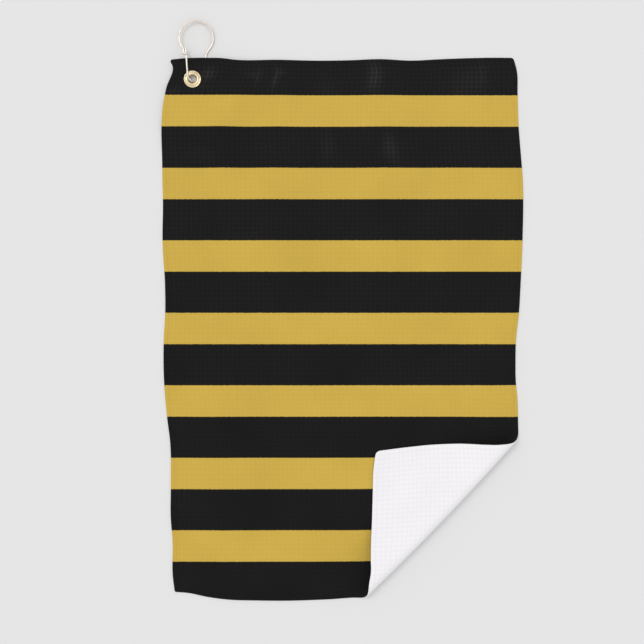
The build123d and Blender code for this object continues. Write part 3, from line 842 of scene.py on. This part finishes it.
# the hook, one bent wire
hook = {
    "radius": 1.05,
    "sides": 20,
    "step": 0.6,
    # corners of its centre line, mm right and up from the eyelet and above the floor, and the bends there
    "corners": [(-5.3, 27.1, 9.9), (-9.45, 27.1, 9.9), (-9.45, 27.1, 7.55), (-9.45, 32.95, 7.55),
                (-20.4, 48.5, 6.25), (4.1, 70.3, 4.2), (28.6, 48.5, 1.9), (14.2, 28.0, 1.06),
                (14.2, -3.2, 1.06), (2.2, -3.3, 1.06), (-4.83, 0.4, 7.55), (-5.37, 8.5, 7.55)],
    "bends": [1.15, 1.15, 4.5, 18.4, 18.4, 18.4, 8.0, 9.0, 5.0, 5.0],
    "gate": [(-5.37, 8.5, 7.55), (-5.6, 12.0, 7.55), (-7.1, 34.6, 7.55)],
    "springLength": 3.5,              # a length either side of the gate leg's pivot
    "endLength": 0.9,                 # how long a rounded end is, in radii
    "endPlaces": (0.0, 0.13, 0.5, 1.0),
    "endScales": (0.45, 0.72, 0.93, 1.0),
}


def roundedRoute(corners, bends):
    # straight runs joined by round bends
    corners = np.array(corners, float)
    route = [corners[:1]]
    for before, apex, after, bend in zip(corners, corners[1:], corners[2:], bends):
        toward, away = before - apex, after - apex
        toward, away = toward / np.linalg.norm(toward), away / np.linalg.norm(away)
        half = math.acos(np.clip(toward @ away, -1, 1)) / 2
        inward = (toward + away) / np.linalg.norm(toward + away)
        center = apex + inward * bend / math.sin(half)
        start, end = (apex + way * bend / math.tan(half) for way in (toward, away))
        sweep = math.pi - 2 * half
        share = np.linspace(0, 1, max(4, int(sweep * bend / hook["step"]) + 2))[:, None]
        a, b = start - center, end - center
        route.append(center + (np.sin((1 - share) * sweep) * a + np.sin(share * sweep) * b) / math.sin(sweep))
    route.append(corners[-1:])
    return np.concatenate(route)


def evenRoute(route, step):
    length = np.concatenate([[0], np.cumsum(np.linalg.norm(np.diff(route, axis=0), axis=1))])
    at = np.linspace(0, length[-1], int(length[-1] / step) + 1)
    return np.stack([np.interp(at, length, route[:, k]) for k in range(3)], axis=1)


def wirePiece(name, route, look, roundStart, roundEnd):
    # a round wire along the route, with rounded free ends
    runs = np.gradient(route, axis=0)
    runs /= np.linalg.norm(runs, axis=1, keepdims=True)
    scale = np.ones(len(route))
    radius, endScales = hook["radius"], np.array(hook["endScales"])
    endPlaces = np.array(hook["endPlaces"])[:, None] * radius * hook["endLength"]
    if roundStart:
        route = np.concatenate([route[0] + runs[0] * endPlaces, route[2:]])
        runs = np.concatenate([np.tile(runs[0], (len(endPlaces), 1)), runs[2:]])
        scale = np.concatenate([endScales, scale[2:]])
    if roundEnd:
        route = np.concatenate([route[:-2], route[-1] - runs[-1] * endPlaces[::-1]])
        runs = np.concatenate([runs[:-2], np.tile(runs[-1], (len(endPlaces), 1))])
        scale = np.concatenate([scale[:-2], endScales[::-1]])
    side = np.cross(runs[0], (0.0, 0.0, 1.0))
    if np.linalg.norm(side) < 0.1:
        side = np.array([1.0, 0.0, 0.0])
    rings = []
    turn = np.arange(hook["sides"]) * 2 * math.pi / hook["sides"]
    for point, run, size in zip(route, runs, scale):
        side = side - run * (side @ run)
        side /= np.linalg.norm(side)
        other = np.cross(run, side)
        rings.append(point + radius * size * (np.cos(turn)[:, None] * side + np.sin(turn)[:, None] * other))
    points = np.concatenate(rings) * mm + (eyeletX, eyeletY, 0)
    number = np.arange(len(points)).reshape(len(rings), -1)
    after = np.roll(number, -1, axis=1)
    quads = np.stack([number[:-1], after[:-1], after[1:], number[1:]], axis=-1).reshape(-1, 4)
    faces = quads.tolist() + [number[0, ::-1].tolist(), number[-1].tolist()]
    return newMesh(name, points, faces, [look])


hookRoute = evenRoute(roundedRoute(hook["corners"], hook["bends"]), hook["step"])
hookWire = wirePiece("hookWire", hookRoute, platedWire, True, False)
hookGate = wirePiece("hookGate", evenRoute(np.array(hook["gate"], float), 0.5), platedWire, False, True)
print("hook bent")


# which CAD body each piece moves with, and the CAD parts that it hides
for piece, body, nodes, slotName in (
        (towelCloth, "towel", ["towel_panel"], "printed_cloth"),
        (faceStitches, "towel",
         ["hem_thread_left", "hem_thread_right", "hem_thread_top", "hem_thread_bottom"], "printed_thread"),
        (backStitches, "towel", [], "white_thread"),
        (eyeletRing, "towel", ["eyelet"], "eyelet_brass"),
        (eyeletWasher, "towel", ["eyelet_washer"], "eyelet_brass"),
        (turnedCorner, "corner", ["corner_flap"], "white_cloth"),
        (cornerFaceStitches, "corner", [], "printed_thread"),
        (cornerBackStitches, "corner", ["corner_thread_side", "corner_thread_bottom"], "white_thread"),
        (hookWire, "hook", ["hook_wire"], "hook_brass")):
    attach(piece, body)
    if nodes:
        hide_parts(*nodes)

# the fold, between the laid cloth and the flap, gets its place baked in, and the CAD roll is hidden
for piece, slotName in ((foldedRoll, "white_cloth"), (foldFaceStitches, "printed_thread"),
                        (foldBackStitches, "white_thread")):
    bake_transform(piece)
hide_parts("corner_roll")

gatePivot = np.array(hook["gate"][1])
gateWay = np.array(hook["gate"][2]) - gatePivot
gateWay /= np.linalg.norm(gateWay)
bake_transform(hookGate)
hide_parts("hook_gate")

# One cloth in three pieces: how large the flat cut of each is.
cellOut, cellRun = fromCrease(cellOpen)
laidCut = (cloth["width"], cloth["length"])
foldCut = (np.ptp(cellRun[isFold]), np.ptp(cellOut[isFold]))
flapCut = (np.ptp(cellAcross[isFlap]), np.ptp(cellAlong[isFlap]))
for piece, cells, cut, held, under, sewn in (
        (towelCloth, isLaid, laidCut, "laid", ["floor", "hookWire"],
         [faceStitches, backStitches, eyeletRing, eyeletWasher]),
        (foldedRoll, isFold, foldCut, "folded", ["floor", "towelCloth"],
         [foldFaceStitches, foldBackStitches]),
        (turnedCorner, isFlap, flapCut, "folded", ["towelCloth"],
         [cornerFaceStitches, cornerBackStitches])):
    print(piece.name, "flat cut, mm:", round(cut[0] / mm, 1), "by", round(cut[1] / mm, 1))
